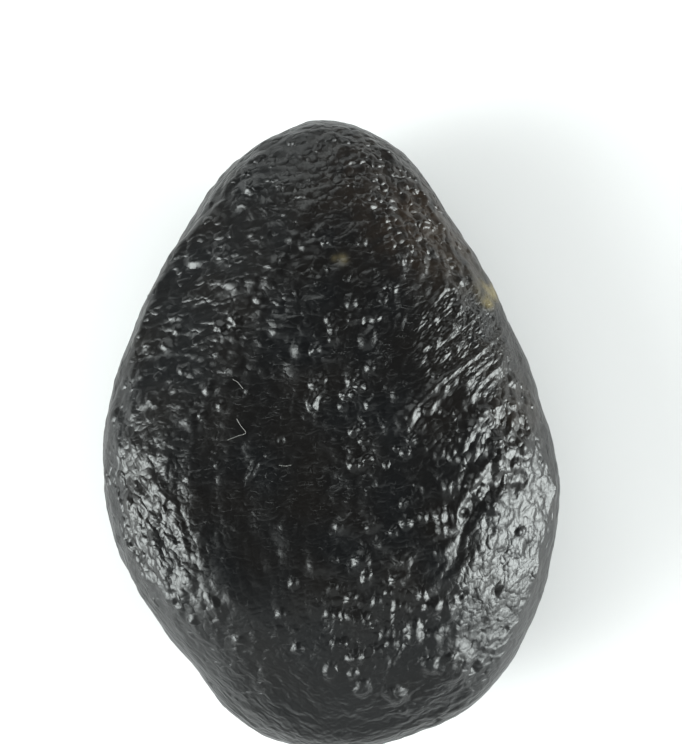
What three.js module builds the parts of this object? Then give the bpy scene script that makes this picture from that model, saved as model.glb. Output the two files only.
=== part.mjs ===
// A raw australite tektite: one egg-shaped pebble of black natural glass, 30 mm long.
// It lies on its back with its etched front face up. Millimetres, +Z up, blunt end towards -Y.
// The origin is on the resting plane, under the middle of the pebble.
import * as THREE from "three";
import { ImprovedNoise } from "three/addons/math/ImprovedNoise.js";
import { mergeVertices } from "three/addons/utils/BufferGeometryUtils.js";

// Size of the pebble. The outline is the widest section, seen from straight above.
const LENGTH = 30;
const FRONT_RISE = 6.4; // from the outline up to the crown of the front face, before its forms
const BACK_DEPTH = 7.0; // from the outline down to the lowest point of the back
const FLAT_DEPTH = 0.35; // how much of the back is worn away by the small flat that it rests on

// Radii of the outline, every 15 degrees from +X towards +Y, and the length that they add up to
// from the blunt end to the tip.
const OUTLINE_RADII = [
  10.6, 10.05, 10.1, 10.55, 11.65, 13.8, 15.2, 14.1, 12.65, 11.4, 10.75, 10.65,
  10.8, 11.1, 11.65, 12.0, 12.9, 14.6, 15.1, 14.75, 14.6, 13.35, 12.15, 11.4,
];
const OUTLINE_LENGTH = 30.3;

// Fullness of the sides every 90 degrees from +X: 2 is an ellipse, and more is squarer.
const FRONT_FULLNESS = [2.1, 2.05, 2.65, 2.4];
const BACK_FULLNESS = [2.2, 2.1, 2.2, 2.2];

// Broad forms of the front face. Each one is centred at x, y, reaches across and along its own
// axes, is turned anticlockwise from +Y by turn degrees, and rises or sinks by rise.
const FRONT_FORMS = [
  { name: "flattened middle", x: -2.0, y: 0.6, across: 12.0, along: 13.5, turn: 7, rise: -1.6 },
  { name: "brow of the dark hollow", x: -2.3, y: -7.0, across: 3.0, along: 3.8, turn: 9, rise: 0.55 },
  { name: "left rim", x: -5.4, y: -5.7, across: 1.6, along: 6.8, turn: 27, rise: 0.3 },
  { name: "left cheek", x: -8.8, y: -2.4, across: 2.1, along: 5.5, turn: 6, rise: 0.35 },
  { name: "right lobe", x: 7.4, y: -5.2, across: 2.0, along: 7.5, turn: -4, rise: 0.45 },
  { name: "ridge beside the lobe", x: 5.2, y: -3.7, across: 1.3, along: 6.2, turn: -15, rise: 0.38 },
  { name: "foot of the lobe", x: 5.2, y: -8.8, across: 2.2, along: 3.8, turn: -10, rise: 0.5 },
  { name: "crest", x: 2.4, y: -4.8, across: 2.0, along: 4.4, turn: -15, rise: 0.55 },
  { name: "right shoulder", x: 4.6, y: 3.5, across: 2.3, along: 4.3, turn: -42, rise: 0.3 },
  { name: "dish under the tip", x: 3.4, y: 10.0, across: 2.8, along: 2.7, turn: 20, rise: -0.45 },
  { name: "knob near the tip", x: -3.7, y: 11.2, across: 1.0, along: 1.3, turn: -40, rise: 0.25 },
  { name: "left slope", x: -7.4, y: 6.2, across: 2.3, along: 7.5, turn: -28, rise: -0.9 },
  { name: "right of the tip", x: 4.3, y: 7.9, across: 1.5, along: 2.8, turn: 38, rise: 0.5 },
  { name: "blunt end", x: 0.1, y: -11.2, across: 1.7, along: 2.9, turn: 0, rise: 0.3 },
  { name: "lower left swell", x: -6.9, y: -8.0, across: 2.6, along: 3.2, turn: 33, rise: 1.15 },
  { name: "lower right slope", x: 7.1, y: -8.7, across: 1.5, along: 7.0, turn: -23, rise: -0.7 },
];

// Broad forms of the back, in the same terms; here rise is outwards, away from the front.
const BACK_FORMS = [
  { name: "heavy belly", x: 0.2, y: -3.2, across: 5.0, along: 6.5, turn: 0, rise: 0.35 },
  { name: "dent near the tip", x: -2.2, y: 8.6, across: 2.4, along: 3.0, turn: 25, rise: -0.5 },
  { name: "dent on the right", x: 6.2, y: 1.2, across: 2.0, along: 2.8, turn: -10, rise: -0.4 },
];

// Lumps all over the surface, as layers of noise: the size of a lump, and how far it stands out.
const LUMP_LAYERS = [
  { size: 5, rise: 0.16 },
  { size: 2.6, rise: 0.15 },
  { size: 1.35, rise: 0.18 },
];

// Round pits that gas bubbles left, spread by a fixed sequence.
const PIT_COUNT = 46;
const PIT_RADII = [0.65, 1.25];
const PIT_DEPTH_SHARE = 0.2; // of the pit's radius
const PIT_SEED = 11;

// The sphere that the pebble is shaped from has 20 * (SPHERE_DETAIL + 1) ** 2 triangles.
const SPHERE_DETAIL = 21;
const SPREAD_UP = 0.82; // under 1 gathers the sphere's points towards the two faces

const STONE_COLOR = 0x17181a;

const { degToRad, euclideanModulo, lerp, seededRandom } = THREE.MathUtils;
const noise = new ImprovedNoise();

// A value from a closed list, by a smooth curve through it. Turns run from 0 to 1.
function closedCurve(values, turns) {
  const place = euclideanModulo(turns, 1) * values.length;
  const at = (offset) => values[euclideanModulo(Math.floor(place) + offset, values.length)];
  const t = place - Math.floor(place);
  const slopeIn = (at(1) - at(-1)) / 2;
  const slopeOut = (at(2) - at(0)) / 2;
  const step = at(1) - at(0);
  const bend = 3 * step - 2 * slopeIn - slopeOut;
  const twist = slopeIn + slopeOut - 2 * step;
  return at(0) + t * (slopeIn + t * (bend + t * twist));
}

// The plain egg, without forms or lumps, in the direction of a unit vector.
function eggPoint(direction) {
  const turns = Math.atan2(direction.y, direction.x) / (2 * Math.PI);
  const front = direction.z >= 0;
  const radius = closedCurve(OUTLINE_RADII, turns) * (LENGTH / OUTLINE_LENGTH);
  const height = front ? FRONT_RISE : -BACK_DEPTH;
  const fullness = closedCurve(front ? FRONT_FULLNESS : BACK_FULLNESS, turns);
  const outward = Math.hypot(direction.x, direction.y);
  const upward = Math.abs(direction.z);
  const scale = (outward ** fullness + upward ** fullness) ** (-1 / fullness);
  const reach = radius * scale;
  return new THREE.Vector3(direction.x * reach, direction.y * reach, height * upward * scale);
}

// How far the listed forms lift the face at x, y.
function formRise(forms, x, y) {
  let rise = 0;
  for (const form of forms) {
    const turn = degToRad(form.turn);
    const dx = x - form.x;
    const dy = y - form.y;
    const across = (dx * Math.cos(turn) + dy * Math.sin(turn)) / form.across;
    const along = (dy * Math.cos(turn) - dx * Math.sin(turn)) / form.along;
    rise += form.rise * Math.exp(-across * across - along * along);
  }
  return rise;
}

// How far the lumps stand out at a point.
function lumpRise(point) {
  let rise = 0;
  for (const { size, rise: layerRise } of LUMP_LAYERS) {
    rise += layerRise * noise.noise(point.x / size, point.y / size, point.z / size);
  }
  return rise;
}

// The pits, each with its centre on the plain egg and its radius.
function pitList() {
  seededRandom(PIT_SEED);
  const pits = [];
  for (let i = 0; i < PIT_COUNT; i++) {
    const z = lerp(-1, 1, seededRandom());
    const azimuth = 2 * Math.PI * seededRandom();
    const outward = Math.sqrt(1 - z * z);
    const direction = new THREE.Vector3(outward * Math.cos(azimuth), outward * Math.sin(azimuth), z);
    pits.push({ centre: eggPoint(direction), radius: lerp(...PIT_RADII, seededRandom()) });
  }
  return pits;
}

// How deep the pits are at a point of the plain egg: a round cup with a soft edge.
function pitDepth(pits, point) {
  let depth = 0;
  for (const { centre, radius } of pits) {
    const share = point.distanceTo(centre) / radius;
    if (share < 1) depth += PIT_DEPTH_SHARE * radius * (1 - share * share) ** 2;
  }
  return depth;
}

// The finished surface in the direction of a unit vector.
function surfacePoint(direction, pits) {
  const point = eggPoint(direction);
  const normal = new THREE.Vector3(
    direction.x / (LENGTH / 3),
    direction.y / (LENGTH / 2),
    direction.z / FRONT_RISE,
  ).normalize();
  const edgeFade = 1 - (1 - direction.z * direction.z) ** 3; // 0 at the outline
  const forms = direction.z >= 0 ? FRONT_FORMS : BACK_FORMS;
  const lift = Math.sign(direction.z) * formRise(forms, point.x, point.y) * edgeFade;
  const skin = lumpRise(point) - pitDepth(pits, point);
  return point.addScaledVector(normal, skin).setZ(point.z + lift);
}

function tektiteGeometry() {
  const sphere = new THREE.IcosahedronGeometry(1, SPHERE_DETAIL);
  sphere.deleteAttribute("normal");
  sphere.deleteAttribute("uv");
  const geometry = mergeVertices(sphere);
  const position = geometry.getAttribute("position");
  const pits = pitList();
  const direction = new THREE.Vector3();
  for (let i = 0; i < position.count; i++) {
    direction.fromBufferAttribute(position, i);
    direction.z *= SPREAD_UP;
    const point = surfacePoint(direction.normalize(), pits);
    position.setXYZ(i, point.x, point.y, Math.max(point.z, FLAT_DEPTH - BACK_DEPTH));
  }
  geometry.computeBoundingBox();
  const middle = geometry.boundingBox.getCenter(new THREE.Vector3());
  geometry.translate(-middle.x, -middle.y, -geometry.boundingBox.min.z);
  geometry.computeVertexNormals();
  return geometry;
}

const glass = new THREE.MeshStandardMaterial({ color: STONE_COLOR, roughness: 0.3, metalness: 0 });
const tektite = new THREE.Mesh(tektiteGeometry(), glass);
tektite.name = "tektite";

const part = new THREE.Group();
part.add(tektite);

export default part;
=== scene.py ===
"""The looks of a raw australite tektite: one pebble of black natural glass, lying on a pale floor.

The model's frame is in metres: +Z up out of the front face, +Y towards the narrow tip. The camera,
the floor and the lights are in metres too. Sizes and places on the skin are in millimetres, and
angles are in degrees.
"""
import math

import bmesh
import bpy
import numpy as np
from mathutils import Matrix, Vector, noise
from mathutils.bvhtree import BVHTree
from mathutils.kdtree import KDTree


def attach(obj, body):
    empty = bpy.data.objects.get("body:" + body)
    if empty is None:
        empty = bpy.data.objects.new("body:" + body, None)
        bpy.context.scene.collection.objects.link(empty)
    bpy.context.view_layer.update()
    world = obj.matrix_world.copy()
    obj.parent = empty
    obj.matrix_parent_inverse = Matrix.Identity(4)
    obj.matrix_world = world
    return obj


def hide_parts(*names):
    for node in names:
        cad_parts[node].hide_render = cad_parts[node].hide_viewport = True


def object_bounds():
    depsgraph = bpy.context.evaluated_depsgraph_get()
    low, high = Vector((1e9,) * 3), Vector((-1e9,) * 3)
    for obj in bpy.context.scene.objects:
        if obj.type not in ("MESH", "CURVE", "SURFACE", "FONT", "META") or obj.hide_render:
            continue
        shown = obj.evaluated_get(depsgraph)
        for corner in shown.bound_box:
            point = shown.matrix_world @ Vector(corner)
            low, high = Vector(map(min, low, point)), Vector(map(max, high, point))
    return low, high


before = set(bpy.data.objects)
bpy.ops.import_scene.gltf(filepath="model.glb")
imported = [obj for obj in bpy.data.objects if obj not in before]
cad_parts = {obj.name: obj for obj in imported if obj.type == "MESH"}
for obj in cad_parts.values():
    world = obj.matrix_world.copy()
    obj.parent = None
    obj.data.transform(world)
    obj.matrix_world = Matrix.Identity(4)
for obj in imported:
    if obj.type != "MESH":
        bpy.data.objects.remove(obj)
cad_low, cad_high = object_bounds()

MM = 0.001
NODE = "tektite"

# The photograph, in its own pixels: its size, the box of the pebble's outline in it, and the
# middle of that box. PIXEL is the size that one of its pixels has in the model.
PHOTO_WIDTH, PHOTO_HEIGHT = 682, 744
OUTLINE_LEFT, OUTLINE_RIGHT = 103, 560
OUTLINE_TOP, OUTLINE_BOTTOM = 116.5, 751.5
MIDDLE_ACROSS = (OUTLINE_LEFT + OUTLINE_RIGHT) / 2
MIDDLE_DOWN = (OUTLINE_TOP + OUTLINE_BOTTOM) / 2
PIXEL = (cad_high.y - cad_low.y) / (OUTLINE_BOTTOM - OUTLINE_TOP)

# Height of the widest section above the floor, as a share of the pebble's thickness.
OUTLINE_HEIGHT_SHARE = 0.55

CAMERA_LENS_MM = 150
CAMERA_SENSOR_MM = 36
CAMERA_NEAREST, CAMERA_FARTHEST = 0.01, 20


def outline_height():
    return cad_low.z + OUTLINE_HEIGHT_SHARE * (cad_high.z - cad_low.z)


def from_photo(across, down):
    """A place in the photograph, in its pixels, as millimetres in the model's frame."""
    middle = (cad_low + cad_high) / 2
    x = middle.x + (across - MIDDLE_ACROSS) * PIXEL
    y = middle.y - (down - MIDDLE_DOWN) * PIXEL
    return x / MM, y / MM


def make_camera():
    """Looks straight down at the front face, with the photograph's framing on the widest section."""
    middle = (cad_low + cad_high) / 2
    data = bpy.data.cameras.new("camera")
    data.lens = CAMERA_LENS_MM
    data.sensor_width = CAMERA_SENSOR_MM
    data.clip_start = CAMERA_NEAREST
    data.clip_end = CAMERA_FARTHEST
    camera = bpy.data.objects.new("camera", data)
    bpy.context.scene.collection.objects.link(camera)
    distance = PHOTO_HEIGHT * PIXEL * CAMERA_LENS_MM / CAMERA_SENSOR_MM
    camera.location = (
        middle.x + (PHOTO_WIDTH / 2 - MIDDLE_ACROSS) * PIXEL,
        middle.y - (PHOTO_HEIGHT / 2 - MIDDLE_DOWN) * PIXEL,
        outline_height() + distance,
    )
    bpy.context.scene.camera = camera


FLOOR_SIZE = 4.0
FLOOR_COLOR = (0.72, 0.72, 0.72, 1)
FLOOR_ROUGHNESS = 0.9

# Soft lights round the pebble: how wide and tall each one looks from it, and how bright.
# Azimuth is anticlockwise from +X, and elevation is above the floor.
PANEL_DISTANCE = 0.3
SOFTBOXES = [
    {"name": "right_softbox", "azimuth": -9, "elevation": 13, "wide": 48, "tall": 50, "glow": 19.5},
    {"name": "left_softbox", "azimuth": 195, "elevation": 26, "wide": 38, "tall": 58, "glow": 18.5},
]
# A softbox is brighter towards its middle. It is made of panels, each in front of the last one:
# the size, glow and distance of each, as shares.
SOFTBOX_STEPS = [(1.0, 0.27, 1.0), (0.7, 0.33, 0.96), (0.42, 0.45, 0.92)]
# Dim plain panels, with their distance as a share of the usual one where it differs.
PANELS = [
    {"name": "foot_panel", "azimuth": 265, "elevation": 16, "wide": 60, "tall": 28, "glow": 0.4},
    {"name": "tip_panel", "azimuth": 104, "elevation": 24, "wide": 30, "tall": 44, "glow": 2.3},
    {"name": "upper_right_panel", "azimuth": 38, "elevation": 25, "wide": 12, "tall": 42, "glow": 0.2},
    {"name": "left_panel", "azimuth": 202, "elevation": 32, "wide": 44, "tall": 56, "glow": 0.4,
     "distance_share": 1.12},
    {"name": "lower_right_panel", "azimuth": 282, "elevation": 52, "wide": 50, "tall": 42, "glow": 0.6},
]
SOFTBOX_TINT = (0.94, 1.0, 0.985)

# The dim room, and a broad overhead light that brightens the floor but shows in no reflection.
ROOM_GLOW = 0.09
OVERHEAD_SIZE, OVERHEAD_HEIGHT, OVERHEAD_GLOW = 0.5, 0.45, 1.1


def make_floor():
    mesh = bpy.data.meshes.new("floor")
    half = FLOOR_SIZE / 2
    corners = [(-half, -half, 0), (half, -half, 0), (half, half, 0), (-half, half, 0)]
    mesh.from_pydata(corners, [], [(0, 1, 2, 3)])
    material = bpy.data.materials.new("floor_paper")
    material.use_nodes = True
    shader = material.node_tree.nodes["Principled BSDF"]
    shader.inputs["Base Color"].default_value = FLOOR_COLOR
    shader.inputs["Roughness"].default_value = FLOOR_ROUGHNESS
    mesh.materials.append(material)
    floor = bpy.data.objects.new("floor", mesh)
    bpy.context.scene.collection.objects.link(floor)


def make_area_light(name, place, width, height, glow):
    """A soft light at a place, facing the pebble."""
    data = bpy.data.lights.new(name, "AREA")
    data.shape = "RECTANGLE"
    data.size = width
    data.size_y = height
    data.energy = glow * math.pi * width * height
    light = bpy.data.objects.new(name, data)
    light.location = place
    light.rotation_euler = place.to_track_quat("Z", "Y").to_euler()
    bpy.context.scene.collection.objects.link(light)
    return light


def make_panel(name, azimuth, elevation, wide, tall, glow, distance_share=1.0):
    """A soft light that looks so wide and tall, in degrees, from the pebble."""
    turn, lift = math.radians(azimuth), math.radians(elevation)
    away = Vector((math.cos(turn) * math.cos(lift), math.sin(turn) * math.cos(lift), math.sin(lift)))
    distance = PANEL_DISTANCE * distance_share
    width = 2 * distance * math.tan(math.radians(wide / 2))
    height = 2 * distance * math.tan(math.radians(tall / 2))
    light = make_area_light(name, away * distance, width, height, glow)
    light.data.color = SOFTBOX_TINT


def make_softbox(name, azimuth, elevation, wide, tall, glow):
    for size, share, distance_share in SOFTBOX_STEPS:
        make_panel(
            f"{name}_{size}", azimuth, elevation, wide * size, tall * size, glow * share, distance_share
        )


def make_room_light():
    overhead = make_area_light(
        "overhead_light", Vector((0, 0, OVERHEAD_HEIGHT)), OVERHEAD_SIZE, OVERHEAD_SIZE, OVERHEAD_GLOW
    )
    overhead.visible_glossy = False
    world = bpy.data.worlds.new("room")
    world.use_nodes = True
    world.node_tree.nodes["Background"].inputs["Color"].default_value = (1, 1, 1, 1)
    world.node_tree.nodes["Background"].inputs["Strength"].default_value = ROOM_GLOW
    bpy.context.scene.world = world
    bpy.context.scene.view_settings.view_transform = "Standard"


# The pebble's mesh: an evenly split sphere of 20 * SPHERE_FREQUENCY ** 2 triangles, cast onto the
# smoothed solid. A larger share upwards gathers more of them on the front face.
# SPHERE_SPACING is the angle between its points times its frequency.
SPHERE_FREQUENCY = 98
SPHERE_SPACING = 1.1
MESH_UPWARDS = 0.5
BUMPS_UPWARDS = 0.2
# How the solid is rounded: points within the weld distance are joined, and then it is smoothed and
# subdivided this many times.
WELD_DISTANCE = 0.001
BASE_SMOOTHING, BASE_SMOOTHING_SHARE = 3, 0.5
BASE_SUBDIVISION = 2


def unit(vectors):
    return vectors / np.linalg.norm(vectors, axis=1, keepdims=True)


def sphere_mesh(frequency):
    """Points and triangles of a unit sphere that is split evenly."""
    bm = bmesh.new()
    bmesh.ops.create_icosphere(bm, subdivisions=1, radius=1)
    bmesh.ops.subdivide_edges(bm, edges=bm.edges[:], cuts=frequency - 1, use_grid_fill=True)
    points = np.array([v.co for v in bm.verts])
    triangles = np.array([[v.index for v in f.verts] for f in bm.faces])
    bm.free()
    return unit(points), triangles


def smoothed_solid():
    """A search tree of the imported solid's surface, rounded by smoothing and subdivision."""
    bm = bmesh.new()
    bm.from_mesh(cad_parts[NODE].data)
    bmesh.ops.remove_doubles(bm, verts=bm.verts[:], dist=WELD_DISTANCE * MM)
    for _ in range(BASE_SMOOTHING):
        bmesh.ops.smooth_vert(
            bm,
            verts=bm.verts[:],
            factor=BASE_SMOOTHING_SHARE,
            use_axis_x=True,
            use_axis_y=True,
            use_axis_z=True,
        )
    mesh = bpy.data.meshes.new("smooth_base")
    bm.to_mesh(mesh)
    bm.free()
    base = bpy.data.objects.new("smooth_base", mesh)
    bpy.context.scene.collection.objects.link(base)
    modifier = base.modifiers.new("smooth", "SUBSURF")
    modifier.levels = BASE_SUBDIVISION
    tree = BVHTree.FromObject(base, bpy.context.evaluated_depsgraph_get())
    bpy.data.objects.remove(base)
    return tree


def cast(tree, directions, upwards):
    """Where rays from the pebble's core meet its surface, and the way the surface faces there."""
    half = np.array((cad_high - cad_low) / 2)
    rays = unit((directions + np.array([0, 0, upwards])) * half)
    core = Vector((0, 0, outline_height()))
    hits = [tree.ray_cast(core, Vector(ray))[:2] for ray in rays]
    return np.array([hit[0] for hit in hits]), np.array([hit[1] for hit in hits])


def vertex_normals(points, triangles):
    a, b, c = (points[triangles[:, corner]] for corner in range(3))
    face_normals = np.cross(b - a, c - a)
    normals = np.zeros_like(points)
    for corner in range(3):
        np.add.at(normals, triangles[:, corner], face_normals)
    return unit(normals)


# How things fade as the skin turns from lying flat to standing upright: the share where it is
# upright, and how much that grows as it faces up, or shrinks where the number is below 0.
PLACE_FADE = (0.5, 1.5)
MARK_FADE = (-0.2, 2)
STAIN_FADE = (0.1, 2.2)
FROST_AND_SHEEN_FADE = (1.1, -2.2)


def fade(upward, upright_share, growth):
    return np.clip(upright_share + growth * upward, 0, 1)


def near(points, normals, place):
    """1 at a named place on the front face, fading to 0 over its reach, as seen from above."""
    dx = points[:, 0] - place["x"] * MM
    dy = points[:, 1] - place["y"] * MM
    front = fade(normals[:, 2], *PLACE_FADE)
    return front * np.exp(-(dx * dx + dy * dy) / (place["reach"] * MM) ** 2)


def amount_at(points, normals, usual, places):
    """A strength that the listed places raise or lower from its usual value."""
    amount = np.full(len(points), float(usual))
    for place in places:
        amount += place["amount"] * near(points, normals, place)
    return np.clip(amount, 0, None)


# The grain of the skin on the front face, by the angle from +X. Elsewhere it follows the outline.
GRAIN_PLACES = [
    {"name": "upper left scales", "x": -4.8, "y": 7.3, "reach": 5.0, "angle": 12},
    {"name": "middle", "x": 0.4, "y": 4.0, "reach": 2.6, "angle": 82},
    {"name": "left of the middle", "x": -4.0, "y": -1.0, "reach": 3.2, "angle": 28},
    {"name": "foot of the crest", "x": 0.9, "y": -7.9, "reach": 3.6, "angle": 72},
    {"name": "flow ridges", "x": 6.6, "y": 4.0, "reach": 3.4, "angle": 40},
    {"name": "right of the tip", "x": 5.2, "y": 8.7, "reach": 2.2, "angle": 80},
    {"name": "valley beside the lobe", "x": 5.6, "y": -0.8, "reach": 3.0, "angle": 55},
    {"name": "below the valley", "x": 4.2, "y": -7.9, "reach": 3.4, "angle": 65},
    {"name": "left rim", "x": -8.2, "y": -3.2, "reach": 3.0, "angle": -62},
    {"name": "lower left rim", "x": -5.3, "y": -8.4, "reach": 3.0, "angle": -58},
    {"name": "lower left flank", "x": -3.9, "y": -12.2, "reach": 3.5, "angle": -40},
]
# How strongly it follows the outline.
OUTLINE_GRAIN = 0.25


def grain_at(points, normals):
    """The direction of the grain in the surface at each point."""
    half = (cad_high - cad_low) / 2
    follow = np.arctan2(points[:, 0] / half.x**2, -points[:, 1] / half.y**2)
    cosine = OUTLINE_GRAIN * np.cos(2 * follow)
    sine = OUTLINE_GRAIN * np.sin(2 * follow)
    for place in GRAIN_PLACES:
        weight = near(points, normals, place)
        turn = 2 * math.radians(place["angle"])
        cosine += weight * math.cos(turn)
        sine += weight * math.sin(turn)
    angle = np.arctan2(sine, cosine) / 2
    flat = np.stack([np.cos(angle), np.sin(angle), np.zeros_like(angle)], axis=1)
    return unit(flat - normals * np.sum(flat * normals, axis=1, keepdims=True))


# Where the skin's bumps are stronger or weaker than elsewhere.
ROUGH_PLACES = [
    {"name": "middle", "x": 0.3, "y": -0.5, "reach": 4.5, "amount": -0.45},
    {"name": "left of the middle", "x": -5.0, "y": -0.5, "reach": 3.5, "amount": -0.35},
    {"name": "smooth hollow", "x": -2.9, "y": -6.6, "reach": 2.8, "amount": -0.6},
    {"name": "lobe", "x": 8.0, "y": -5.6, "reach": 2.8, "amount": -0.5},
    {"name": "lower left flank", "x": -6.6, "y": -11.8, "reach": 3.6, "amount": -0.8},
    {"name": "lower right flank", "x": 7.4, "y": -11.4, "reach": 3.0, "amount": -0.8},
    {"name": "blunt end", "x": 0.6, "y": -13.6, "reach": 3.4, "amount": -0.8},
    {"name": "dish under the tip", "x": 3.0, "y": 10.6, "reach": 2.2, "amount": -0.3},
    {"name": "upper left", "x": -5.0, "y": 6.5, "reach": 4.5, "amount": -0.3},
    {"name": "flow ridges", "x": 7.0, "y": 4.0, "reach": 2.4, "amount": -0.5},
]
# The skin is smoother where it turns down towards the outline: its strength there, and how far
# it faces up or down where it begins to be rougher, with the span up to its usual strength.
OUTLINE_STRENGTH = 0.45
OUTLINE_TURN, OUTLINE_TURN_SPAN = 0.25, 0.45
LEAST_STRENGTH = 0.1


def strength_at(points, normals):
    """How strong the bumps are at each point: 1 is the usual."""
    amount = amount_at(points, normals, 1, ROUGH_PLACES)
    turned = np.clip((np.abs(normals[:, 2]) - OUTLINE_TURN) / OUTLINE_TURN_SPAN, 0, 1)
    turned = turned * turned * (3 - 2 * turned)
    turned = OUTLINE_STRENGTH + (1 - OUTLINE_STRENGTH) * turned
    return np.clip(amount, LEAST_STRENGTH, None) * turned


# Layers of rounded bumps that crowd the skin, each one longer along the grain than across it.
# shown is the share of the places in the layer that hold a bump.
BUMP_LAYERS = [
    {"frequency": 15, "across": 0.46, "along": 0.62, "height": 0.070, "shown": 0.6, "seed": 3},
    {"frequency": 28, "across": 0.27, "along": 0.38, "height": 0.038, "shown": 0.8, "seed": 5},
]
# The bumps' sizes as shares of the layer's, the spread of their heights, and its limits.
BUMP_SIZES = (0.65, 1.3)
HEIGHT_SPREAD = 0.5
HEIGHT_LIMITS = (-2, 1.7)
# How soon a bump falls off, and how sharply two bumps meet.
BUMP_FALL = 0.6
BUMP_MEETING = 4
BUMP_NEIGHBOURS = 9
BUMP_JITTER = 0.5
BUMP_WARP, BUMP_WARP_SIZE = 0.08, 0.4
# Without a seed, Blender's noise vectors differ from run to run.
BUMP_WARP_SEED = 7


def warped(points):
    """The points pushed about by smooth noise, so that the bumps aren't neat ellipses."""
    noise.seed_set(BUMP_WARP_SEED)
    shifts = [noise.noise_vector(Vector(point) / (BUMP_WARP_SIZE * MM)) for point in points]
    return points + np.array(shifts) * BUMP_WARP * MM


def bump_relief(layer, tree, points):
    """The height of the bumps at each point, rounded off where they meet."""
    random = np.random.default_rng(layer["seed"])
    directions, _ = sphere_mesh(layer["frequency"])
    spacing = SPHERE_SPACING / layer["frequency"]
    directions = unit(directions + random.uniform(-1, 1, directions.shape) * BUMP_JITTER * spacing)
    places, normals = cast(tree, directions, BUMPS_UPWARDS)
    grain = grain_at(places, normals)
    side = np.cross(normals, grain)
    size = random.uniform(*BUMP_SIZES, len(places))
    spread = np.clip(random.normal(size=len(places)), *HEIGHT_LIMITS)
    height = layer["height"] * size * np.exp(HEIGHT_SPREAD * spread)
    height *= random.random(len(places)) < layer["shown"]
    finder = KDTree(len(places))
    for i, place in enumerate(places):
        finder.insert(place, i)
    finder.balance()
    found = [finder.find_n(point, BUMP_NEIGHBOURS) for point in points]
    nearest = np.array([[hit[1] for hit in hits] for hits in found])
    relief = np.zeros(len(points))
    for column in range(BUMP_NEIGHBOURS):
        seed = nearest[:, column]
        offset = points - places[seed]
        along = np.sum(offset * grain[seed], axis=1) / (layer["along"] * MM * size[seed])
        across = np.sum(offset * side[seed], axis=1) / (layer["across"] * MM * size[seed])
        bump = height[seed] * np.clip(1 - BUMP_FALL * (along**2 + across**2), 0, None) ** 2
        relief += bump**BUMP_MEETING
    return relief ** (1 / BUMP_MEETING) * MM


# The marks that give this pebble its face, as seen from above.
# A swell is a low plateau with a soft edge: place, half width, half length, turn and height.
SWELLS = [
    {"name": "lobe", "x": 7.4, "y": -5.8, "across": 1.85, "along": 3.0, "turn": -16, "height": 0.14},
    {"name": "lower patch", "x": 5.7, "y": -10.6, "across": 0.7, "along": 1.0, "turn": -40,
     "height": 0.14},
    {"name": "patch by the tip", "x": -3.8, "y": 11.6, "across": 0.45, "along": 0.35, "turn": 0,
     "height": 0.08},
]
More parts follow.
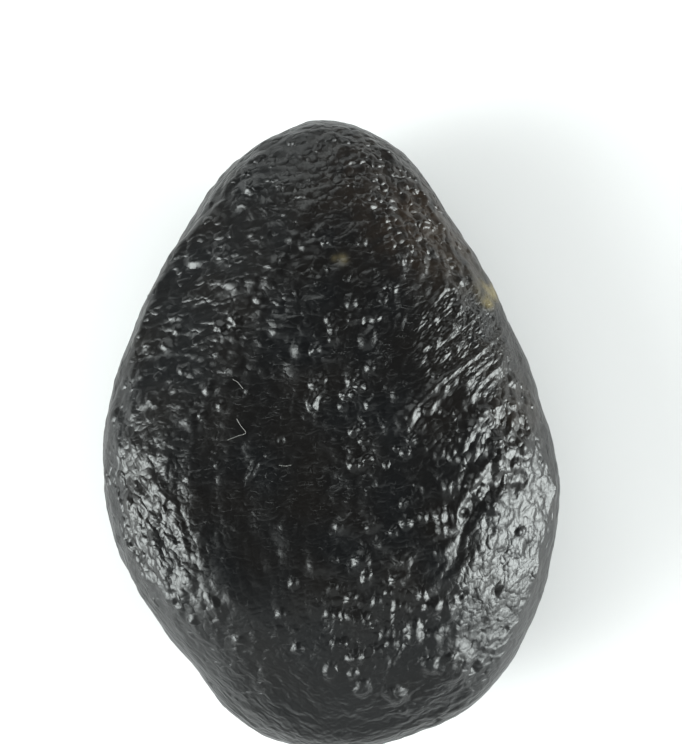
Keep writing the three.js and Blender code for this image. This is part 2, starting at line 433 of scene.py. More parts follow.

# Ridges, and creases with a height below 0. Their lines are read in the photograph, in its
# pixels; widths and heights are in mm. Their ends are lower by the share FOLD_TAPER.
FOLD_TAPER = 0.6
FOLDS = [
    {"name": "arch over the lobe", "width": 0.24, "height": 0.12,
     "line": [(441, 562), (446, 525), (458, 493), (480, 464), (512, 443), (541, 452)]},
    {"name": "upper arc", "width": 0.22, "height": 0.1,
     "line": [(458, 452), (467, 427), (480, 409), (512, 402)]},
    {"name": "short crest", "width": 0.22, "height": 0.11,
     "line": [(407, 422), (412, 409), (422, 394), (433, 381), (448, 377)]},
    {"name": "shoulder line", "width": 0.14, "height": 0.09,
     "line": [(417, 314), (430, 307), (436, 298), (442, 288)]},
    {"name": "flow ridge 1", "width": 0.1, "height": 0.08,
     "line": [(419, 398), (440, 380), (462, 364), (484, 347), (500, 330)]},
    {"name": "flow ridge 2", "width": 0.1, "height": 0.08,
     "line": [(434, 383), (455, 368), (478, 352), (497, 334), (508, 318)]},
    {"name": "flow ridge 3", "width": 0.1, "height": 0.08,
     "line": [(440, 389), (462, 372), (484, 358), (503, 341), (512, 327)]},
    {"name": "flow ridge 4", "width": 0.1, "height": 0.08,
     "line": [(452, 392), (470, 374), (487, 362), (506, 347)]},
    {"name": "flow ridge 5", "width": 0.1, "height": 0.08,
     "line": [(465, 397), (480, 380), (492, 368), (509, 352)]},
    {"name": "flow ridge 6", "width": 0.11, "height": 0.05,
     "line": [(472, 319), (480, 310), (489, 306)]},
    {"name": "flow ridge 7", "width": 0.11, "height": 0.05,
     "line": [(484, 328), (492, 319), (499, 312)]},
    {"name": "gap above the lobe", "width": 0.38, "height": -0.2,
     "line": [(468, 498), (485, 485), (502, 478), (520, 478), (535, 484)]},
    {"name": "left line", "width": 0.18, "height": 0.05,
     "line": [(121, 416), (132, 434), (140, 446), (151, 462)]},
    {"name": "second left line", "width": 0.2, "height": 0.12,
     "line": [(156, 472), (166, 486), (176, 499)]},
    {"name": "inner left line", "width": 0.14, "height": 0.08,
     "line": [(186, 524), (191, 540), (194, 550)]},
    {"name": "rim crease 1", "width": 0.13, "height": -0.08,
     "line": [(131, 470), (143, 479), (155, 492), (166, 508)]},
    {"name": "rim crease 2", "width": 0.13, "height": -0.07,
     "line": [(138, 502), (150, 510), (160, 522), (172, 540)]},
    {"name": "rim crease 3", "width": 0.11, "height": -0.08,
     "line": [(126, 526), (136, 541), (147, 556), (160, 572)]},
    {"name": "inner boundary", "width": 0.22, "height": -0.05,
     "line": [(180, 528), (194, 556), (205, 590), (222, 616), (246, 640)]},
    {"name": "foot ridge left", "width": 0.2, "height": 0.06,
     "line": [(197, 604), (212, 612), (229, 617), (243, 636)]},
    {"name": "vertical chain", "width": 0.2, "height": 0.13,
     "line": [(437, 497), (436, 513), (438, 530)]},
    {"name": "valley crease", "width": 0.16, "height": -0.08,
     "line": [(452, 560), (458, 530), (470, 506), (492, 480)]},
    {"name": "foot crease 1", "width": 0.12, "height": -0.09,
     "line": [(428, 640), (424, 620), (416, 608)]},
    {"name": "foot crease 2", "width": 0.12, "height": -0.08,
     "line": [(386, 670), (398, 640), (402, 612)]},
    {"name": "foot crease 3", "width": 0.12, "height": -0.08,
     "line": [(405, 694), (416, 684), (425, 677)]},
]

# Rounded bumps, read in the photograph: across, down, half width and half length in its
# pixels, angle of the length from +X, and height in mm. BLOB_RISE multiplies their heights, and
# with BLOB_FALL under 1 they spread a little past their half sizes.
BLOB_RISE = 1.1
BLOB_FALL = 0.7
BLOBS = [
    (257, 465, 3.6, 12, 62, 0.11), (367, 568, 5, 6, 80, 0.11), (351, 591, 5, 6, 90, 0.11),
    (333, 581, 5, 6, 30, 0.08), (358, 611, 9, 13, -35, 0.22), (357, 650, 6, 10, 10, 0.15),
    (398, 572, 6, 9, 10, 0.13), (388, 585, 4.5, 6, 90, 0.1), (396, 596, 4.5, 5, 0, 0.1),
    (375, 594, 4, 7, 60, 0.1), (353, 665, 5, 7, 80, 0.11), (363, 680, 8, 9, 50, 0.13),
    (390, 635, 5, 6, 60, 0.11), (383, 626, 4, 8, 55, 0.09), (412, 624, 7, 13, 85, 0.16),
    (428, 600, 8, 9, 30, 0.14), (448, 602, 7, 12, 75, 0.14), (432, 630, 8, 10, 80, 0.13),
    (430, 658, 8, 11, -35, 0.14), (449, 650, 5, 5, 0, 0.09), (396, 688, 9, 15, -30, 0.17),
    (406, 553, 5, 10, 60, 0.12), (419, 586, 4, 6, 80, 0.08), (393, 606, 3.5, 6, 85, 0.07),
    (362, 553, 9, 9, 0, 0.12), (384, 538, 5, 6, 40, 0.07), (410, 412, 6, 9, 62, 0.12),
    (428, 406, 5, 9, 45, 0.13), (437, 449, 3.5, 9, 58, 0.08), (469, 425, 6, 6, 0, 0.11),
    (478, 411, 5, 5, 0, 0.09), (512, 381, 7, 7, 0, 0.11), (511, 404, 5, 5, 0, 0.08),
    (510, 420, 6, 7, 30, 0.1), (470, 478, 6, 9, 20, 0.13), (444, 482, 4, 6, 70, 0.09),
    (437, 545, 6, 9, 80, 0.11), (220, 602, 6, 14, -60, 0.12), (252, 190, 9, 7, 0, 0.1),
    (316, 351, 5, 5, 0, 0.08), (329, 359, 3, 6, 0, 0.05), (314, 403, 5, 7, 80, 0.11),
    (359, 386, 5, 5, 0, 0.1), (356, 425, 5, 5, 0, 0.05), (366, 438, 4, 8, 0, 0.05),
    (403, 517, 5, 5, 0, 0.1), (338, 518, 3, 6, 80, 0.07), (496, 464, 7, 7, 0, 0.12),
    (490, 502, 7, 8, 60, 0.16), (438, 510, 6, 7, 90, 0.12), (439, 525, 6, 7, 90, 0.12),
    (451, 512, 4, 8, 85, 0.08), (494, 406, 5, 8, 80, 0.1), (412, 494, 4, 6, 80, 0.07),
    (452, 329, 5, 7, 60, 0.1), (458, 309, 5, 6, 60, 0.09), (475, 492, 7, 7, 0, 0.12),
    (508, 432, 7, 8, 30, 0.1), (522, 446, 7, 8, 50, 0.1), (515, 463, 6, 8, 20, 0.09),
    (332, 662, 7, 8, 80, 0.12),
]
# Dimples, in the same terms.
DIMPLES = [
    (474, 661, 4, 7, 40, -0.13), (492, 585, 3.5, 5.5, 20, -0.12),
    (460, 585, 2.8, 3, 0, -0.1), (526, 545, 6.5, 8.5, 60, -0.07),
]

# Small round beads, at places in the photograph.
BEAD_RADIUS, BEAD_HEIGHT = 0.28, 0.12
BEADS = [
    (392, 290), (382, 300), (432, 320), (351, 306), (352, 322), (330, 320), (334, 331), (334, 340),
    (317, 351), (315, 383), (323, 378), (323, 390), (317, 396), (314, 405), (348, 394), (360, 386),
    (352, 382), (370, 403), (370, 367), (422, 348), (454, 347), (434, 343), (364, 438), (354, 430),
    (368, 456), (363, 461), (410, 438), (450, 456), (456, 309), (447, 324), (446, 334), (494, 438),
    (207, 413), (194, 474), (197, 614), (242, 633), (404, 450), (330, 606), (338, 608), (336, 634),
    (344, 634), (460, 283), (453, 290), (400, 262), (362, 246), (318, 237), (327, 246), (285, 262),
    (262, 300), (236, 318), (241, 323), (222, 327), (180, 330), (170, 345), (187, 369), (212, 388),
    (226, 404), (300, 640), (284, 606), (296, 575), (421, 590), (478, 659), (403, 703), (462, 381),
    (421, 512), (405, 518), (516, 528), (495, 439), (369, 456), (353, 462), (344, 404), (346, 394),
    (402, 498), (370, 522), (376, 518), (392, 527),
]


def distance_to_line(x, y, line):
    """The distance from each place to a bent line, and how far along the line the nearest point is."""
    best = np.full(len(x), np.inf)
    where = np.zeros(len(x))
    steps = [math.dist(a, b) for a, b in zip(line, line[1:])]
    gone = 0.0
    for (ax, ay), (bx, by), step in zip(line, line[1:], steps):
        share = np.clip(((x - ax) * (bx - ax) + (y - ay) * (by - ay)) / step**2, 0, 1)
        distance = np.hypot(x - ax - share * (bx - ax), y - ay - share * (by - ay))
        closer = distance < best
        best = np.where(closer, distance, best)
        where = np.where(closer, (gone + share * step) / sum(steps), where)
        gone += step
    return best, where


# The mounds are steeper on the left and fall away gently to the right.
MOUND_LEAN = 0.6


def blob_share(x, y, place_x, place_y, across, along, angle):
    """The squared distance from a blob's middle, as a share of its size."""
    cosine, sine = math.cos(math.radians(angle)), math.sin(math.radians(angle))
    lengthwise = ((x - place_x) * cosine + (y - place_y) * sine) / along
    sideways = ((y - place_y) * cosine - (x - place_x) * sine) / across
    return lengthwise**2 + sideways**2


def mound(share, rightwards):
    """A mound: 1 in the middle and 0 where share is 1, with its top a little left of its middle."""
    return np.clip(1 - share, 0, None) * (1 - MOUND_LEAN * np.clip(rightwards, -1, 1))


def landmark_relief(points, bent, normals):
    """The height of the named marks at each point of the front face."""
    x, y = bent[:, 0] / MM, bent[:, 1] / MM
    relief = np.zeros(len(points))
    for swell in SWELLS:
        angle = swell["turn"] + 90
        share = blob_share(x, y, swell["x"], swell["y"], swell["across"], swell["along"], angle)
        relief += swell["height"] * np.exp(-(share**3))
    for fold in FOLDS:
        distance, where = distance_to_line(x, y, [from_photo(*place) for place in fold["line"]])
        taper = 1 - FOLD_TAPER * (2 * where - 1) ** 2
        relief += fold["height"] * taper * np.exp(-((distance / fold["width"]) ** 2))
    for *place, half_width, half_length, angle, height in BLOBS + DIMPLES:
        place_x, place_y = from_photo(*place)
        across, along = half_width * PIXEL / MM, half_length * PIXEL / MM
        share = blob_share(x, y, place_x, place_y, across, along, angle)
        rightwards = (x - place_x) / max(across, along)
        relief += BLOB_RISE * height * mound(BLOB_FALL * share, rightwards)
    for place in BEADS:
        place_x, place_y = from_photo(*place)
        share = blob_share(x, y, place_x, place_y, BEAD_RADIUS, BEAD_RADIUS, 0)
        relief += BEAD_HEIGHT * mound(share, (x - place_x) / BEAD_RADIUS)
    return relief * fade(normals[:, 2], *MARK_FADE) * MM


# Round pits left by gas bubbles: radii in mm, and depth and rim height as shares of the radius.
PIT_COUNT = 110
PIT_RADII = (0.12, 0.3)
PIT_DEPTH_SHARE = 0.35
PIT_FALL = 1.5
PIT_RIM_SHARE = 0.08
PIT_RIM_PLACE, PIT_RIM_WIDTH = 1.15, 0.25
PIT_SEED = 23


def pit_relief(tree, points):
    random = np.random.default_rng(PIT_SEED)
    directions = unit(random.normal(size=(PIT_COUNT, 3)))
    places, _ = cast(tree, directions, 0)
    radii = random.uniform(*PIT_RADII, PIT_COUNT) * MM
    relief = np.zeros(len(points))
    for place, radius in zip(places, radii):
        share = np.linalg.norm(points - place, axis=1) / radius
        cup = np.clip(1 - share**2, 0, None)
        relief -= PIT_DEPTH_SHARE * radius * cup**PIT_FALL
        rim = np.exp(-(((share - PIT_RIM_PLACE) / PIT_RIM_WIDTH) ** 2))
        relief += PIT_RIM_SHARE * radius * rim
    return relief


# The colours of the glass: nearly black, brown where it is thin, with a few ochre specks of soil.
BLUISH_BLACK = np.array([0.0006, 0.0009, 0.0013])
BROWNISH_BLACK = np.array([0.0017, 0.0011, 0.0007])
TINT_PATCH_SIZE = 2.0
# The stains are patchy: the size of a patch, how much it differs, and the most it may reach.
STAIN_PATCH_SIZE, STAIN_PATCH_SPREAD, STAIN_PATCH_MOST = 0.5, 1.2, 1.4
STAINS = [
    {"x": 1.4, "y": 12.4, "reach": 2.6, "color": (0.010, 0.007, 0.005), "amount": 0.6},
    {"x": 4.2, "y": 10.0, "reach": 2.0, "color": (0.015, 0.009, 0.005), "amount": 0.85},
    {"x": 5.9, "y": 8.8, "reach": 1.6, "color": (0.017, 0.011, 0.006), "amount": 0.75},
    {"x": 7.1, "y": 7.1, "reach": 1.0, "color": (0.018, 0.013, 0.007), "amount": 0.6},
    {"x": 8.6, "y": 1.3, "reach": 1.3, "color": (0.012, 0.008, 0.0045), "amount": 0.6},
    {"x": 7.2, "y": 3.9, "reach": 1.6, "color": (0.009, 0.0065, 0.004), "amount": 0.6},
    {"x": 7.50, "y": 6.75, "reach": 0.45, "color": (0.13, 0.105, 0.045), "amount": 1.0},
    {"x": 7.35, "y": 6.2, "reach": 0.25, "color": (0.13, 0.105, 0.045), "amount": 0.9},
    {"x": 0.5, "y": 8.1, "reach": 0.2, "color": (0.07, 0.058, 0.03), "amount": 0.9},
    {"x": 0.15, "y": 8.15, "reach": 0.13, "color": (0.07, 0.058, 0.03), "amount": 0.7},
]


# The gloss of the skin: how rough it is on the face, and where it is frosted by wear and painted a
# lighter grey sheen.
GLASS_ROUGHNESS = 0.33
FROSTED_ROUGHNESS = 0.43
FROST_AND_SHEEN_PLACES = [
    {"name": "lower left flank", "x": -6.6, "y": -11.0, "reach": 3.6},
    {"name": "blunt end", "x": 1.2, "y": -13.8, "reach": 4.2},
    {"name": "lower right flank", "x": 7.8, "y": -10.8, "reach": 2.2},
    {"name": "left of the tip", "x": -1.8, "y": 13.6, "reach": 1.8},
]
# A lighter grey for the frosted skin: partly painted sheen, standing in for the grey reflection along
# the flanks.
FROST_SHEEN_COLOR = np.array([0.0016, 0.0018, 0.0022])


def frost_and_sheen_at(points, normals):
    """How frosted the skin is, and how far its colour is painted a lighter sheen: 0 on the face, and 1
    at the outline and the worn places.
    """
    frost_and_sheen = fade(np.abs(normals[:, 2]), *FROST_AND_SHEEN_FADE)
    for place in FROST_AND_SHEEN_PLACES:
        frost_and_sheen += near(points, normals, place)
    return np.clip(frost_and_sheen, 0, 1)


def noise_at(points, size):
    """Smooth noise, from about -1 to 1, with patches of a size in mm."""
    return np.array([noise.noise(Vector(point) / (size * MM)) for point in points])


def skin_colors(points, normals):
    """The colour of the skin, with its roughness in the place of the fourth number."""
    frost_and_sheen = frost_and_sheen_at(points, normals)[:, None]
    brownness = np.clip(0.5 + noise_at(points, TINT_PATCH_SIZE), 0, 1)[:, None]
    colors = BLUISH_BLACK + (BROWNISH_BLACK - BLUISH_BLACK) * brownness
    # Lighter grey towards the outline and the frosted places: painted sheen, besides the rougher frost.
    colors += (FROST_SHEEN_COLOR - colors) * frost_and_sheen
    patchy = 1 + STAIN_PATCH_SPREAD * noise_at(points, STAIN_PATCH_SIZE)
    patchy = np.clip(patchy, 0, STAIN_PATCH_MOST) * fade(normals[:, 2], *STAIN_FADE)
    for stain in STAINS:
        share = near(points, normals, stain) * stain["amount"] * patchy
        share = np.clip(share, 0, 1)[:, None]
        colors = colors * (1 - share) + np.array(stain["color"]) * share
    return np.hstack([colors, GLASS_ROUGHNESS + (FROSTED_ROUGHNESS - GLASS_ROUGHNESS) * frost_and_sheen])


def pebble_surface(tree):
    """The finished points, their normals before the relief, and the triangles."""
    directions, triangles = sphere_mesh(SPHERE_FREQUENCY)
    points, _ = cast(tree, directions, MESH_UPWARDS)
    normals = vertex_normals(points, triangles)
    bent = warped(points)
    relief = sum(bump_relief(layer, tree, bent) for layer in BUMP_LAYERS)
    relief *= strength_at(points, normals)
    relief += landmark_relief(points, bent, normals)
    relief += pit_relief(tree, points)
    relief -= np.mean(relief)
    points = points + normals * relief[:, None]
    points[:, 2] = np.maximum(points[:, 2], 0)
    return points, normals, triangles


# Pale lint caught on the skin, as bent lines at places in the photograph.
LINT = [
    [(236, 379), (241, 382), (246, 388)],
    [(240, 417), (244, 424), (249, 431), (241, 434), (231, 438)],
    [(293, 462), (287, 463), (281, 462)],
    [(158, 286), (154, 291), (149, 297)],
]
LINT_RADIUS, LINT_LIFT = 0.018, 0.06
LINT_SIDES = 3
LINT_STEPS = 12
LINT_COLOR = (0.17, 0.17, 0.16, 0.7)


def smooth_line(line, steps):
    """Points along a curve that passes through the line's corners."""
    line = np.array(line)
    ends = np.vstack([2 * line[0] - line[1], line, 2 * line[-1] - line[-2]])
    places = []
    for share in np.linspace(0, len(line) - 1, steps):
        i = min(int(share), len(line) - 2)
        t = share - i
        a, b, c, d = ends[i : i + 4]
        bend = 2 * a - 5 * b + 4 * c - d
        twist = 3 * b - a - 3 * c + d
        places.append(0.5 * (2 * b + (c - a) * t + bend * t**2 + twist * t**3))
    return np.array(places)


def lint_tubes(tree, first):
    """Thin three-sided tubes lying on the skin: their points and triangles, numbered from first."""
    points, triangles = [], []
    for line in LINT:
        path = []
        for x, y in smooth_line([from_photo(*place) for place in line], LINT_STEPS):
            hit = tree.ray_cast(Vector((x * MM, y * MM, 1)), Vector((0, 0, -1)))[0]
            path.append(hit + Vector((0, 0, LINT_LIFT * MM)))
        for i, place in enumerate(path):
            ahead = path[min(i + 1, len(path) - 1)] - path[max(i - 1, 0)]
            side = ahead.cross(Vector((0, 0, 1))).normalized()
            upwards = side.cross(ahead).normalized()
            start = first + len(points)
            for corner in range(LINT_SIDES):
                angle = 2 * math.pi * corner / LINT_SIDES
                offset = (side * math.cos(angle) + upwards * math.sin(angle)) * LINT_RADIUS * MM
                points.append(place + offset)
                if i:
                    here, there = start + corner, start + (corner + 1) % LINT_SIDES
                    before_here, before_there = here - LINT_SIDES, there - LINT_SIDES
                    triangles += [(before_here, here, there), (before_here, there, before_there)]
    return np.array(points), np.array(triangles)


# Zones of the fine relief on the front face. Each one's pattern fades into its neighbours',
# and the first one also covers the sides and the back.
# Sizes are of one grain of the pattern, in mm, and the angle is its length's from +X. With a
# higher rarity, fewer grains are tall. A place has its x, y and reach.
ZONES = [
    {"name": "specks", "kind": "cells", "angle": 12, "across": 0.20, "along": 0.50, "height": 0.036,
     "rarity": 1.2, "places": [(-5.0, -0.5, 3.0), (-3.2, -6.0, 3.5), (1.5, 1.0, 3.0), (1.0, -4.0, 2.5)]},
    {"name": "scales", "kind": "cells", "angle": 8, "across": 0.30, "along": 0.70, "height": 0.058,
     "rarity": 1.4, "places": [(-4.8, 7.3, 4.5), (0.5, 7.5, 3.0), (-6.5, 3.5, 2.5)]},
    {"name": "crumples", "kind": "cells", "angle": 62, "across": 0.34, "along": 0.44, "height": 0.085,
     "rarity": 1.3, "places": [(6.5, -0.5, 2.4), (4.0, -9.0, 3.0), (1.0, -8.5, 2.0), (8.7, 1.5, 2.0)]},
    {"name": "leather", "kind": "cells", "angle": 70, "across": 0.55, "along": 0.70, "height": 0.085,
     "rarity": 0.5, "places": [(8.1, -5.7, 2.6), (5.2, -8.0, 1.4)]},
    {"name": "rim grains", "kind": "cells", "angle": -60, "across": 0.34, "along": 0.62, "height": 0.125,
     "rarity": 0.8, "places": [(-9.2, -2.6, 2.0), (-7.6, -5.4, 2.0), (-5.6, -8.0, 1.4)]},
    {"name": "flow lines", "kind": "straight lines", "angle": 42, "across": 0.17, "along": 2.2,
     "height": 0.1, "places": [(7.4, 3.6, 2.2), (5.6, 4.4, 1.6)]},
    {"name": "wrinkles", "kind": "lines", "angle": -42, "across": 0.34, "along": 1.3, "height": 0.15,
     "places": [(-6.0, -11.6, 3.4), (-2.0, -13.0, 3.0)]},
    {"name": "foot wrinkles", "kind": "lines", "angle": 15, "across": 0.34, "along": 0.9, "height": 0.15,
     "places": [(2.5, -13.8, 3.0), (7.4, -11.2, 2.6)]},
    {"name": "tip crumples", "kind": "cells", "angle": 15, "across": 0.34, "along": 0.48, "height": 0.2,
     "rarity": 1.2, "places": [(-1.5, 12.7, 2.6), (3.2, 10.8, 2.4)]},
]
FIRST_ZONE_SHARE = 0.12
ZONE_SHARPNESS = 1.5
# The material reads the zones' shares from colour attributes, three zones in each. The fourth
# number is the strength of the small beads in the first one, and that of the grit in the second.
ZONES_PER_ATTRIBUTE = 3


def zone_shares(points, normals):
    """The share of each zone at each point, summing to 1."""
    shares = np.zeros((len(points), len(ZONES)))
    shares[:, 0] = FIRST_ZONE_SHARE
    for column, zone in enumerate(ZONES):
        for x, y, reach in zone["places"]:
            shares[:, column] += near(points, normals, {"x": x, "y": y, "reach": reach})
    shares = shares**ZONE_SHARPNESS
    return shares / np.sum(shares, axis=1, keepdims=True)


# Where the fine relief is weaker or stronger than usual: the zones' patterns, the small beads
# and the grit.
USUAL_BEADS, USUAL_GRIT = 0.7, 0.4
FINE_PLACES = [
    {"name": "dark hollow", "x": -2.9, "y": -6.4, "reach": 3.0, "amount": -0.75},
    {"name": "left of the middle", "x": -5.0, "y": 0.0, "reach": 3.4, "amount": -0.3},
]
BEAD_PLACES = [
    {"name": "middle", "x": 1.0, "y": 1.0, "reach": 4.5, "amount": -0.3},
    {"name": "upper middle", "x": 0.5, "y": 6.0, "reach": 3.0, "amount": 0.3},
    {"name": "beside the crest", "x": 5.5, "y": -0.5, "reach": 3.0, "amount": 0.6},
    {"name": "foot of the crest", "x": 2.5, "y": -8.5, "reach": 3.4, "amount": 0.1},
    {"name": "dark hollow", "x": -2.9, "y": -6.4, "reach": 3.0, "amount": -0.8},
    {"name": "lobe", "x": 8.0, "y": -5.7, "reach": 3.4, "amount": -1.0},
    {"name": "upper left", "x": -5.0, "y": 6.5, "reach": 4.5, "amount": -0.5},
    {"name": "lower left flank", "x": -6.0, "y": -11.6, "reach": 4.0, "amount": -1.0},
    {"name": "blunt end", "x": 1.2, "y": -13.8, "reach": 3.6, "amount": -0.9},
    {"name": "lower right flank", "x": 7.8, "y": -10.8, "reach": 3.0, "amount": -0.6},
    {"name": "left of the tip", "x": -1.5, "y": 12.8, "reach": 2.6, "amount": -0.8},
]
GRIT_PLACES = [
    {"name": "lobe", "x": 8.0, "y": -5.7, "reach": 3.4, "amount": 0.8},
    {"name": "left rim", "x": -8.6, "y": -3.6, "reach": 3.6, "amount": 0.8},
    {"name": "blunt end", "x": 0.0, "y": -13.0, "reach": 5.0, "amount": 0.6},
    {"name": "tip", "x": 0.0, "y": 13.0, "reach": 3.0, "amount": 0.5},
]


def add_color(mesh, name, values):
    attribute = mesh.attributes.new(name, "FLOAT_COLOR", "POINT")
    attribute.data.foreach_set("color", values.astype(np.float32).ravel())


def add_zones(mesh, points, normals):
    """Stores the strengths of the zones, the beads and the grit. The lint comes last and has none."""
    count = len(mesh.vertices)
    groups = len(ZONES) // ZONES_PER_ATTRIBUTE
    shares = np.zeros((count, len(ZONES)))
    fine = amount_at(points, normals, 1, FINE_PLACES)
    shares[: len(points)] = zone_shares(points, normals) * fine[:, None]
    extras = np.zeros((count, groups))
    extras[: len(points), 0] = amount_at(points, normals, USUAL_BEADS, BEAD_PLACES)
    extras[: len(points), 1] = amount_at(points, normals, USUAL_GRIT, GRIT_PLACES)
    for group in range(groups):
        columns = slice(group * ZONES_PER_ATTRIBUTE, (group + 1) * ZONES_PER_ATTRIBUTE)
        add_color(mesh, f"zones_{group}", np.hstack([shares[:, columns], extras[:, [group]]]))


def make_pebble():
    tree = smoothed_solid()
    points, normals, triangles = pebble_surface(tree)
    lint_points, lint_triangles = lint_tubes(tree, len(points))
    mesh = bpy.data.meshes.new("tektite_pebble")
    corners = np.vstack([points, lint_points])
    mesh.from_pydata(corners.tolist(), [], np.vstack([triangles, lint_triangles]).tolist())
    mesh.shade_smooth()
    lint_colors = np.tile(LINT_COLOR, (len(lint_points), 1))
    add_color(mesh, "skin_color", np.vstack([skin_colors(points, normals), lint_colors]))
    add_zones(mesh, points, normals)
    pebble = bpy.data.objects.new("tektite_pebble", mesh)
    bpy.context.scene.collection.objects.link(pebble)
    return pebble


# The finest relief, drawn by the material: heights in mm, scales in cells per mm, and radii in
# cells. The wobble shifts the patterns by up to its amount, in mm.
WOBBLE = {"scale": 1.8, "amount": 0.35}
DOME_RADIUS = 0.8
GRIT = {"scale": 4.5, "height": 0.014}
# Small cones, taller in some patches: noise from low to high gives a strength from least to most.
SMALL_BEADS = {"scale": 2.2, "radius": 0.45, "height": 0.1, "rarity": 3.0}
BEAD_PATCHES = {"scale": 0.5, "low": 0.35, "high": 0.65, "least": 0.2, "most": 1.5}
GLASS_IOR = 1.5


class Nodes:
    """Short ways to add nodes to a material and join them."""

    def __init__(self, tree):
        self.tree = tree

    def add(self, kind, inputs=None, **settings):
        node = self.tree.nodes.new(kind)
        for name, value in settings.items():
            setattr(node, name, value)
        for socket, value in (inputs or {}).items():
            if isinstance(value, bpy.types.NodeSocket):
                self.tree.links.new(value, node.inputs[socket])
            else:
                node.inputs[socket].default_value = value
        return node

    def math(self, operation, a, b=0.0, c=0.0):
        return self.add("ShaderNodeMath", {0: a, 1: b, 2: c}, operation=operation).outputs[0]


def stored(nodes, name):
    """The numbers that the mesh stores at its points under a name."""
    return nodes.add("ShaderNodeAttribute", attribute_name=name)


def cell_pattern(nodes, vector, scale):
    return nodes.add("ShaderNodeTexVoronoi", {"Vector": vector, "Scale": scale}, feature="F1")


def noise_pattern(nodes, vector, scale, detail):
    return nodes.add("ShaderNodeTexNoise", {"Vector": vector, "Scale": scale, "Detail": detail})


def wobbled(nodes, in_mm):
    """The coordinates, shifted by smooth noise so that the patterns aren't straight."""
    noisy = noise_pattern(nodes, in_mm, WOBBLE["scale"], 1).outputs["Color"]
    amount = (WOBBLE["amount"],) * 3
    shift = nodes.add("ShaderNodeVectorMath", {0: noisy, 1: amount}, operation="MULTIPLY").outputs[0]
    return nodes.add("ShaderNodeVectorMath", {0: in_mm, 1: shift}, operation="ADD").outputs[0]


def turned_and_scaled(nodes, in_mm, angle, across, along):
    """Coordinates along and across a grain, counted in grains."""
    rotation = (0, 0, -math.radians(angle))
    turned = nodes.add("ShaderNodeMapping", {"Vector": in_mm, "Rotation": rotation}).outputs["Vector"]
    scale = (1 / along, 1 / across, 1 / across)
    return nodes.add("ShaderNodeMapping", {"Vector": turned, "Scale": scale}).outputs["Vector"]


def dome(nodes, cells):
    """1 in the middle of each cell, falling to 0 at the dome's radius."""
    share = nodes.math("DIVIDE", cells.outputs["Distance"], DOME_RADIUS)
    height = nodes.math("SUBTRACT", 1.0, nodes.math("MULTIPLY", share, share))
    return nodes.math("MAXIMUM", height, 0.0)


def cone(nodes, cells, radius):
    """1 in the middle of each cell, falling evenly to 0 at the radius."""
    share = nodes.math("DIVIDE", cells.outputs["Distance"], radius)
    return nodes.math("MAXIMUM", nodes.math("SUBTRACT", 1.0, share), 0.0)


def cell_lot(nodes, cells):
    """A number of its own for each cell, from 0 to 1."""
    return nodes.add("ShaderNodeSeparateColor", {"Color": cells.outputs["Color"]}).outputs[0]


def grit_height(nodes, in_mm):
    cells = cell_pattern(nodes, in_mm, GRIT["scale"])
    tall = nodes.math("MULTIPLY", stored(nodes, "zones_1").outputs["Alpha"], GRIT["height"])
    return nodes.math("MULTIPLY", dome(nodes, cells), tall)


def zone_height(nodes, in_mm, zone):
    """The height of a zone's pattern, in mm."""
    grain = turned_and_scaled(nodes, in_mm, zone["angle"], zone["across"], zone["along"])
    if "lines" in zone["kind"]:
        lines = noise_pattern(nodes, grain, 1.0, 1)
        return nodes.math("MULTIPLY", lines.outputs["Fac"], zone["height"])
    cells = cell_pattern(nodes, grain, 1.0)
    tall = nodes.math("POWER", cell_lot(nodes, cells), zone["rarity"])
    tall = nodes.math("MULTIPLY", tall, zone["height"])
    return nodes.math("MULTIPLY", dome(nodes, cells), tall)


def add_zone_heights(nodes, in_mm, straight_mm, height):
    """The height with each zone's pattern added, by the zone's share."""
    for first in range(0, len(ZONES), ZONES_PER_ATTRIBUTE):
        shares = stored(nodes, f"zones_{first // ZONES_PER_ATTRIBUTE}").outputs["Color"]
        shares = nodes.add("ShaderNodeSeparateColor", {"Color": shares})
        for channel, zone in enumerate(ZONES[first : first + ZONES_PER_ATTRIBUTE]):
            straight = zone["kind"] == "straight lines"
            pattern = zone_height(nodes, straight_mm if straight else in_mm, zone)
            height = nodes.math("MULTIPLY_ADD", pattern, shares.outputs[channel], height)
    return height


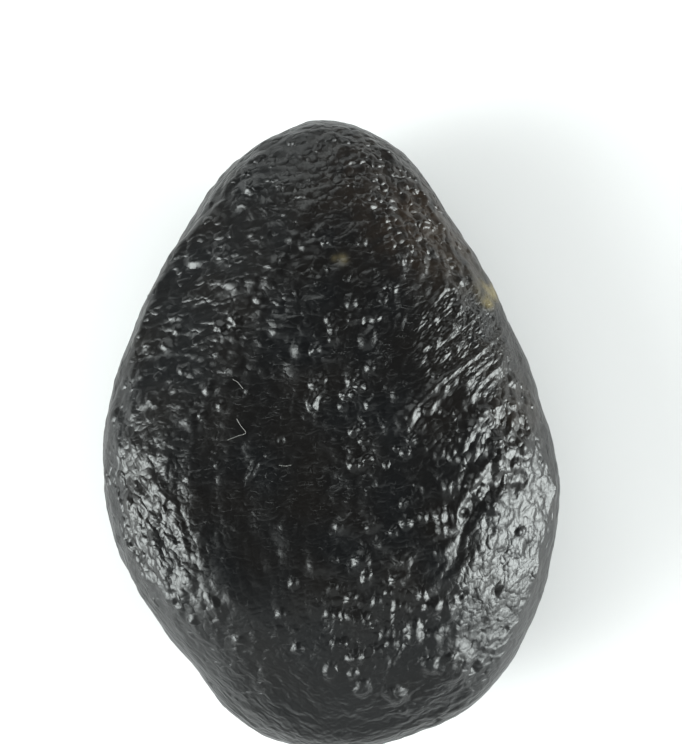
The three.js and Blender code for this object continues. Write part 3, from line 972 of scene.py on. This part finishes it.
def add_bead_heights(nodes, in_mm, height):
    """The height with the small beads added."""
    patches = nodes.add(
        "ShaderNodeMapRange",
        {
            "Value": noise_pattern(nodes, in_mm, BEAD_PATCHES["scale"], 0).outputs["Fac"],
            "From Min": BEAD_PATCHES["low"],
            "From Max": BEAD_PATCHES["high"],
            "To Min": BEAD_PATCHES["least"],
            "To Max": BEAD_PATCHES["most"],
        },
    )
    cells = cell_pattern(nodes, in_mm, SMALL_BEADS["scale"])
    tall = nodes.math("POWER", cell_lot(nodes, cells), SMALL_BEADS["rarity"])
    tallest = nodes.math("MULTIPLY", patches.outputs["Result"], SMALL_BEADS["height"])
    tall = nodes.math("MULTIPLY", tall, tallest)
    tall = nodes.math("MULTIPLY", tall, stored(nodes, "zones_0").outputs["Alpha"])
    return nodes.math("MULTIPLY_ADD", cone(nodes, cells, SMALL_BEADS["radius"]), tall, height)


def make_glass():
    material = bpy.data.materials.new("tektite_glass")
    material.use_nodes = True
    nodes = Nodes(material.node_tree)
    join = material.node_tree.links.new
    shader = material.node_tree.nodes["Principled BSDF"]
    shader.inputs["IOR"].default_value = GLASS_IOR

    color = stored(nodes, "skin_color")
    join(color.outputs["Color"], shader.inputs["Base Color"])
    join(color.outputs["Alpha"], shader.inputs["Roughness"])

    place = nodes.add("ShaderNodeTexCoord").outputs["Object"]
    to_mm = nodes.add("ShaderNodeMapping", {"Vector": place, "Scale": (1 / MM,) * 3})
    straight_mm = to_mm.outputs["Vector"]
    in_mm = wobbled(nodes, straight_mm)
    height = grit_height(nodes, in_mm)
    height = add_zone_heights(nodes, in_mm, straight_mm, height)
    height = add_bead_heights(nodes, in_mm, height)

    bump = nodes.add("ShaderNodeBump", {"Height": height, "Distance": MM, "Strength": 1.0})
    join(bump.outputs["Normal"], shader.inputs["Normal"])
    return material


make_camera()
make_floor()
for softbox in SOFTBOXES:
    make_softbox(**softbox)
for panel in PANELS:
    make_panel(**panel)
make_room_light()

pebble = make_pebble()
pebble.data.materials.append(make_glass())
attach(pebble, "root")
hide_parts(NODE)
